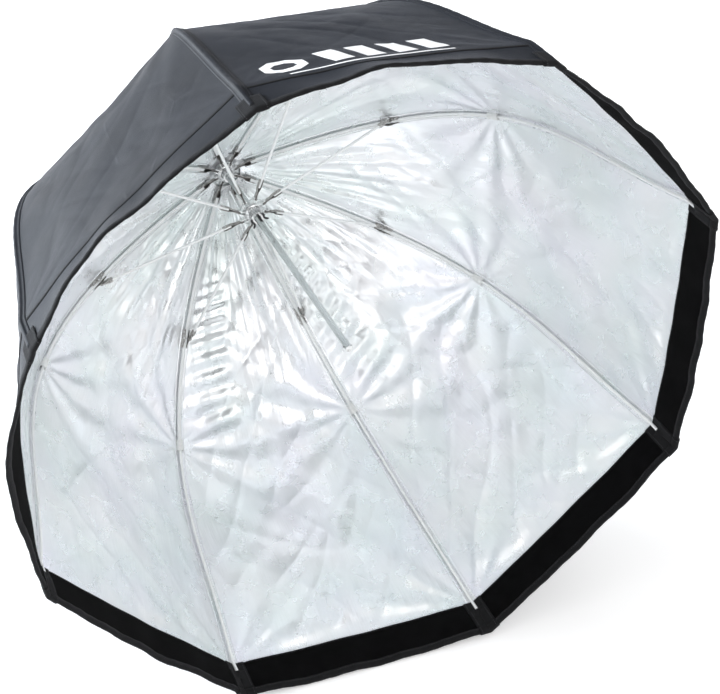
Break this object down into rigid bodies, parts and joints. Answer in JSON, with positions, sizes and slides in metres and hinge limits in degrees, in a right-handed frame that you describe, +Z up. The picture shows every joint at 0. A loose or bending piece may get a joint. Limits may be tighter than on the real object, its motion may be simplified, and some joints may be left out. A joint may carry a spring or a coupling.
{
  "type": "octabox",
  "caption": "Folding octagonal soft lighting modifier on an umbrella frame, silver inside and black outside, with a loop-tape rim band.",
  "frame": {"origin": "centre of the flat end face of the shaft, inside the mouth", "axes": "+Y along the shaft from its end face to the crown, the mouth faces -Y, +Z up with one panel of the octagon on top, +X to the right seen from the front"},
  "size_m": [0.7546, 0.5252, 0.7546],
  "materials": {
    "shaft_steel": "bright plated steel tube and wire, fine drawn lines along the length",
    "dark_steel": "dark plated pressed steel, satin, light edges",
    "rib_white": "smooth white coated rods",
    "black_plastic": "moulded black, fine grain",
    "canopy_fabric": "black coated woven polyester outside with crumpled bright silver lining inside",
    "silver_lining": "bright crumpled silver reflective lining with cool tints",
    "loop_tape": "deep black soft loop pile, no sheen",
    "webbing": "black ribbed webbing with stitched edges",
    "tie_cloth": "small white cloth loops that tie the seams to the ribs"
  },
  "bodies": {
    "shaft": {"shaft_tube": "shaft_steel", "shaft_end_plug": "dark_steel", "stop_pin": "dark_steel", "catch_spring": "shaft_steel", "crown_hub": "dark_steel", "crown_wire": "shaft_steel", "crown_cap": "black_plastic", "crown_patch": "canopy_fabric"},
    "runner": {"runner": "dark_steel", "runner_wire": "shaft_steel"},
    "catch": {"runner_catch": "black_plastic"},
    "rib_1": {"rib_inner_1": "rib_white"},
    "rib_tip_1": {"rib_outer_1": "rib_white", "corner_pocket_1": "webbing"},
    "stretcher_1": {"stretcher_1": "rib_white"},
    "panel_1": {"gore_1": "canopy_fabric"},
    "rim_panel_1": {"rim_band_1": "loop_tape"},
    "rib_2": {"rib_inner_2": "rib_white"},
    "rib_tip_2": {"rib_outer_2": "rib_white", "corner_pocket_2": "webbing"},
    "stretcher_2": {"stretcher_2": "rib_white"},
    "panel_2": {"gore_2": "canopy_fabric"},
    "rim_panel_2": {"rim_band_2": "loop_tape"},
    "rib_3": {"rib_inner_3": "rib_white"},
    "rib_tip_3": {"rib_outer_3": "rib_white", "corner_pocket_3": "webbing"},
    "stretcher_3": {"stretcher_3": "rib_white"},
    "panel_3": {"gore_3": "canopy_fabric"},
    "rim_panel_3": {"rim_band_3": "loop_tape"},
    "rib_4": {"rib_inner_4": "rib_white"},
    "rib_tip_4": {"rib_outer_4": "rib_white", "corner_pocket_4": "webbing"},
    "stretcher_4": {"stretcher_4": "rib_white"},
    "panel_4": {"gore_4": "canopy_fabric"},
    "rim_panel_4": {"rim_band_4": "loop_tape"},
    "rib_5": {"rib_inner_5": "rib_white"},
    "rib_tip_5": {"rib_outer_5": "rib_white", "corner_pocket_5": "webbing"},
    "stretcher_5": {"stretcher_5": "rib_white"},
    "panel_5": {"gore_5": "canopy_fabric"},
    "rim_panel_5": {"rim_band_5": "loop_tape"},
    "rib_6": {"rib_inner_6": "rib_white"},
    "rib_tip_6": {"rib_outer_6": "rib_white", "corner_pocket_6": "webbing"},
    "stretcher_6": {"stretcher_6": "rib_white"},
    "panel_6": {"gore_6": "canopy_fabric"},
    "rim_panel_6": {"rim_band_6": "loop_tape"},
    "rib_7": {"rib_inner_7": "rib_white"},
    "rib_tip_7": {"rib_outer_7": "rib_white", "corner_pocket_7": "webbing"},
    "stretcher_7": {"stretcher_7": "rib_white"},
    "panel_7": {"gore_7": "canopy_fabric"},
    "rim_panel_7": {"rim_band_7": "loop_tape"},
    "rib_8": {"rib_inner_8": "rib_white"},
    "rib_tip_8": {"rib_outer_8": "rib_white", "corner_pocket_8": "webbing"},
    "stretcher_8": {"stretcher_8": "rib_white"},
    "panel_8": {"gore_8": "canopy_fabric"},
    "rim_panel_8": {"rim_band_8": "loop_tape"}
  },
  "joints": [
    {"name": "runner_slide", "type": "slide", "parent": "shaft", "child": "runner", "axis": [0, -1, 0], "range_m": [0, 0.277], "deforming": ["gore_1", "rim_band_1", "gore_2", "rim_band_2", "gore_3", "rim_band_3", "gore_4", "rim_band_4", "gore_5", "rim_band_5", "gore_6", "rim_band_6", "gore_7", "rim_band_7", "gore_8", "rim_band_8"]},
    {"name": "catch_press", "type": "slide", "parent": "shaft", "child": "catch", "axis": [0, 0, -1], "range_m": [0, 0.0016], "stiffness_N_per_m": 800},
    {"name": "rib_fold_1", "type": "hinge", "parent": "shaft", "child": "rib_1", "pos_m": [0.01293, 0.398, 0.00536], "axis": [0.3827, 0, -0.9239], "range_deg": [0, 56.44]},
    {"name": "rib_tip_fold_1", "type": "hinge", "parent": "rib_1", "child": "rib_tip_1", "pos_m": [0.27786, 0.23703, 0.11509], "axis": [-0.3827, 0, 0.9239], "range_deg": [0, 40.52]},
    {"name": "stretcher_fold_1", "type": "hinge", "parent": "runner", "child": "stretcher_1", "pos_m": [0.01571, 0.301, 0.00651], "axis": [-0.3827, 0, 0.9239], "range_deg": [0, 70.12]},
    {"name": "panel_fold_1", "type": "hinge", "parent": "shaft", "child": "panel_1", "pos_m": [0.006, 0.39, 0], "axis": [0, 0, -1], "range_deg": [0, 55.76]},
    {"name": "rim_panel_fold_1", "type": "hinge", "parent": "panel_1", "child": "rim_panel_1", "pos_m": [0.28122, 0.23951, 0], "axis": [0, 0, 1], "range_deg": [0, 42.13]},
    {"name": "rib_fold_2", "type": "hinge", "parent": "shaft", "child": "rib_2", "pos_m": [0.00536, 0.398, 0.01293], "axis": [0.9239, 0, -0.3827], "range_deg": [0, 56.44]},
    {"name": "rib_tip_fold_2", "type": "hinge", "parent": "rib_2", "child": "rib_tip_2", "pos_m": [0.11509, 0.23703, 0.27786], "axis": [-0.9239, 0, 0.3827], "range_deg": [0, 40.52]},
    {"name": "stretcher_fold_2", "type": "hinge", "parent": "runner", "child": "stretcher_2", "pos_m": [0.00651, 0.301, 0.01571], "axis": [-0.9239, 0, 0.3827], "range_deg": [0, 70.12]},
    {"name": "panel_fold_2", "type": "hinge", "parent": "shaft", "child": "panel_2", "pos_m": [0.00424, 0.39, 0.00424], "axis": [0.7071, 0, -0.7071], "range_deg": [0, 55.76]},
    {"name": "rim_panel_fold_2", "type": "hinge", "parent": "panel_2", "child": "rim_panel_2", "pos_m": [0.19885, 0.23951, 0.19885], "axis": [-0.7071, 0, 0.7071], "range_deg": [0, 42.13]},
    {"name": "rib_fold_3", "type": "hinge", "parent": "shaft", "child": "rib_3", "pos_m": [-0.00536, 0.398, 0.01293], "axis": [0.9239, 0, 0.3827], "range_deg": [0, 56.44]},
    {"name": "rib_tip_fold_3", "type": "hinge", "parent": "rib_3", "child": "rib_tip_3", "pos_m": [-0.11509, 0.23703, 0.27786], "axis": [-0.9239, 0, -0.3827], "range_deg": [0, 40.52]},
    {"name": "stretcher_fold_3", "type": "hinge", "parent": "runner", "child": "stretcher_3", "pos_m": [-0.00651, 0.301, 0.01571], "axis": [-0.9239, 0, -0.3827], "range_deg": [0, 70.12]},
    {"name": "panel_fold_3", "type": "hinge", "parent": "shaft", "child": "panel_3", "pos_m": [0, 0.39, 0.006], "axis": [1, 0, 0], "range_deg": [0, 55.76]},
    {"name": "rim_panel_fold_3", "type": "hinge", "parent": "panel_3", "child": "rim_panel_3", "pos_m": [0, 0.23951, 0.28122], "axis": [-1, 0, 0], "range_deg": [0, 42.13]},
    {"name": "rib_fold_4", "type": "hinge", "parent": "shaft", "child": "rib_4", "pos_m": [-0.01293, 0.398, 0.00536], "axis": [0.3827, 0, 0.9239], "range_deg": [0, 56.44]},
    {"name": "rib_tip_fold_4", "type": "hinge", "parent": "rib_4", "child": "rib_tip_4", "pos_m": [-0.27786, 0.23703, 0.11509], "axis": [-0.3827, 0, -0.9239], "range_deg": [0, 40.52]},
    {"name": "stretcher_fold_4", "type": "hinge", "parent": "runner", "child": "stretcher_4", "pos_m": [-0.01571, 0.301, 0.00651], "axis": [-0.3827, 0, -0.9239], "range_deg": [0, 70.12]},
    {"name": "panel_fold_4", "type": "hinge", "parent": "shaft", "child": "panel_4", "pos_m": [-0.00424, 0.39, 0.00424], "axis": [0.7071, 0, 0.7071], "range_deg": [0, 55.76]},
    {"name": "rim_panel_fold_4", "type": "hinge", "parent": "panel_4", "child": "rim_panel_4", "pos_m": [-0.19885, 0.23951, 0.19885], "axis": [-0.7071, 0, -0.7071], "range_deg": [0, 42.13]},
    {"name": "rib_fold_5", "type": "hinge", "parent": "shaft", "child": "rib_5", "pos_m": [-0.01293, 0.398, -0.00536], "axis": [-0.3827, 0, 0.9239], "range_deg": [0, 56.44]},
    {"name": "rib_tip_fold_5", "type": "hinge", "parent": "rib_5", "child": "rib_tip_5", "pos_m": [-0.27786, 0.23703, -0.11509], "axis": [0.3827, 0, -0.9239], "range_deg": [0, 40.52]},
    {"name": "stretcher_fold_5", "type": "hinge", "parent": "runner", "child": "stretcher_5", "pos_m": [-0.01571, 0.301, -0.00651], "axis": [0.3827, 0, -0.9239], "range_deg": [0, 70.12]},
    {"name": "panel_fold_5", "type": "hinge", "parent": "shaft", "child": "panel_5", "pos_m": [-0.006, 0.39, 0], "axis": [0, 0, 1], "range_deg": [0, 55.76]},
    {"name": "rim_panel_fold_5", "type": "hinge", "parent": "panel_5", "child": "rim_panel_5", "pos_m": [-0.28122, 0.23951, 0], "axis": [0, 0, -1], "range_deg": [0, 42.13]},
    {"name": "rib_fold_6", "type": "hinge", "parent": "shaft", "child": "rib_6", "pos_m": [-0.00536, 0.398, -0.01293], "axis": [-0.9239, 0, 0.3827], "range_deg": [0, 56.44]},
    {"name": "rib_tip_fold_6", "type": "hinge", "parent": "rib_6", "child": "rib_tip_6", "pos_m": [-0.11509, 0.23703, -0.27786], "axis": [0.9239, 0, -0.3827], "range_deg": [0, 40.52]},
    {"name": "stretcher_fold_6", "type": "hinge", "parent": "runner", "child": "stretcher_6", "pos_m": [-0.00651, 0.301, -0.01571], "axis": [0.9239, 0, -0.3827], "range_deg": [0, 70.12]},
    {"name": "panel_fold_6", "type": "hinge", "parent": "shaft", "child": "panel_6", "pos_m": [-0.00424, 0.39, -0.00424], "axis": [-0.7071, 0, 0.7071], "range_deg": [0, 55.76]},
    {"name": "rim_panel_fold_6", "type": "hinge", "parent": "panel_6", "child": "rim_panel_6", "pos_m": [-0.19885, 0.23951, -0.19885], "axis": [0.7071, 0, -0.7071], "range_deg": [0, 42.13]},
    {"name": "rib_fold_7", "type": "hinge", "parent": "shaft", "child": "rib_7", "pos_m": [0.00536, 0.398, -0.01293], "axis": [-0.9239, 0, -0.3827], "range_deg": [0, 56.44]},
    {"name": "rib_tip_fold_7", "type": "hinge", "parent": "rib_7", "child": "rib_tip_7", "pos_m": [0.11509, 0.23703, -0.27786], "axis": [0.9239, 0, 0.3827], "range_deg": [0, 40.52]},
    {"name": "stretcher_fold_7", "type": "hinge", "parent": "runner", "child": "stretcher_7", "pos_m": [0.00651, 0.301, -0.01571], "axis": [0.9239, 0, 0.3827], "range_deg": [0, 70.12]},
    {"name": "panel_fold_7", "type": "hinge", "parent": "shaft", "child": "panel_7", "pos_m": [0, 0.39, -0.006], "axis": [-1, 0, 0], "range_deg": [0, 55.76]},
    {"name": "rim_panel_fold_7", "type": "hinge", "parent": "panel_7", "child": "rim_panel_7", "pos_m": [0, 0.23951, -0.28122], "axis": [1, 0, 0], "range_deg": [0, 42.13]},
    {"name": "rib_fold_8", "type": "hinge", "parent": "shaft", "child": "rib_8", "pos_m": [0.01293, 0.398, -0.00536], "axis": [-0.3827, 0, -0.9239], "range_deg": [0, 56.44]},
    {"name": "rib_tip_fold_8", "type": "hinge", "parent": "rib_8", "child": "rib_tip_8", "pos_m": [0.27786, 0.23703, -0.11509], "axis": [0.3827, 0, 0.9239], "range_deg": [0, 40.52]},
    {"name": "stretcher_fold_8", "type": "hinge", "parent": "runner", "child": "stretcher_8", "pos_m": [0.01571, 0.301, -0.00651], "axis": [0.3827, 0, 0.9239], "range_deg": [0, 70.12]},
    {"name": "panel_fold_8", "type": "hinge", "parent": "shaft", "child": "panel_8", "pos_m": [0.00424, 0.39, -0.00424], "axis": [-0.7071, 0, -0.7071], "range_deg": [0, 55.76]},
    {"name": "rim_panel_fold_8", "type": "hinge", "parent": "panel_8", "child": "rim_panel_8", "pos_m": [0.19885, 0.23951, -0.19885], "axis": [0.7071, 0, 0.7071], "range_deg": [0, 42.13]}
  ],
  "couplings": [
    {"joint": "rib_fold_1", "follows": "runner_slide", "rad_per_m": 3.5555},
    {"joint": "rib_tip_fold_1", "follows": "runner_slide", "rad_per_m": 2.5523},
    {"joint": "stretcher_fold_1", "follows": "runner_slide", "rad_per_m": 4.4172},
    {"joint": "panel_fold_1", "follows": "runner_slide", "rad_per_m": 3.5125},
    {"joint": "rim_panel_fold_1", "follows": "runner_slide", "rad_per_m": 2.6542},
    {"joint": "rib_fold_2", "follows": "runner_slide", "rad_per_m": 3.5555},
    {"joint": "rib_tip_fold_2", "follows": "runner_slide", "rad_per_m": 2.5523},
    {"joint": "stretcher_fold_2", "follows": "runner_slide", "rad_per_m": 4.4172},
    {"joint": "panel_fold_2", "follows": "runner_slide", "rad_per_m": 3.5125},
    {"joint": "rim_panel_fold_2", "follows": "runner_slide", "rad_per_m": 2.6542},
    {"joint": "rib_fold_3", "follows": "runner_slide", "rad_per_m": 3.5555},
    {"joint": "rib_tip_fold_3", "follows": "runner_slide", "rad_per_m": 2.5523},
    {"joint": "stretcher_fold_3", "follows": "runner_slide", "rad_per_m": 4.4172},
    {"joint": "panel_fold_3", "follows": "runner_slide", "rad_per_m": 3.5125},
    {"joint": "rim_panel_fold_3", "follows": "runner_slide", "rad_per_m": 2.6542},
    {"joint": "rib_fold_4", "follows": "runner_slide", "rad_per_m": 3.5555},
    {"joint": "rib_tip_fold_4", "follows": "runner_slide", "rad_per_m": 2.5523},
    {"joint": "stretcher_fold_4", "follows": "runner_slide", "rad_per_m": 4.4172},
    {"joint": "panel_fold_4", "follows": "runner_slide", "rad_per_m": 3.5125},
    {"joint": "rim_panel_fold_4", "follows": "runner_slide", "rad_per_m": 2.6542},
    {"joint": "rib_fold_5", "follows": "runner_slide", "rad_per_m": 3.5555},
    {"joint": "rib_tip_fold_5", "follows": "runner_slide", "rad_per_m": 2.5523},
    {"joint": "stretcher_fold_5", "follows": "runner_slide", "rad_per_m": 4.4172},
    {"joint": "panel_fold_5", "follows": "runner_slide", "rad_per_m": 3.5125},
    {"joint": "rim_panel_fold_5", "follows": "runner_slide", "rad_per_m": 2.6542},
    {"joint": "rib_fold_6", "follows": "runner_slide", "rad_per_m": 3.5555},
    {"joint": "rib_tip_fold_6", "follows": "runner_slide", "rad_per_m": 2.5523},
    {"joint": "stretcher_fold_6", "follows": "runner_slide", "rad_per_m": 4.4172},
    {"joint": "panel_fold_6", "follows": "runner_slide", "rad_per_m": 3.5125},
    {"joint": "rim_panel_fold_6", "follows": "runner_slide", "rad_per_m": 2.6542},
    {"joint": "rib_fold_7", "follows": "runner_slide", "rad_per_m": 3.5555},
    {"joint": "rib_tip_fold_7", "follows": "runner_slide", "rad_per_m": 2.5523},
    {"joint": "stretcher_fold_7", "follows": "runner_slide", "rad_per_m": 4.4172},
    {"joint": "panel_fold_7", "follows": "runner_slide", "rad_per_m": 3.5125},
    {"joint": "rim_panel_fold_7", "follows": "runner_slide", "rad_per_m": 2.6542},
    {"joint": "rib_fold_8", "follows": "runner_slide", "rad_per_m": 3.5555},
    {"joint": "rib_tip_fold_8", "follows": "runner_slide", "rad_per_m": 2.5523},
    {"joint": "stretcher_fold_8", "follows": "runner_slide", "rad_per_m": 4.4172},
    {"joint": "panel_fold_8", "follows": "runner_slide", "rad_per_m": 3.5125},
    {"joint": "rim_panel_fold_8", "follows": "runner_slide", "rad_per_m": 2.6542}
  ]
}
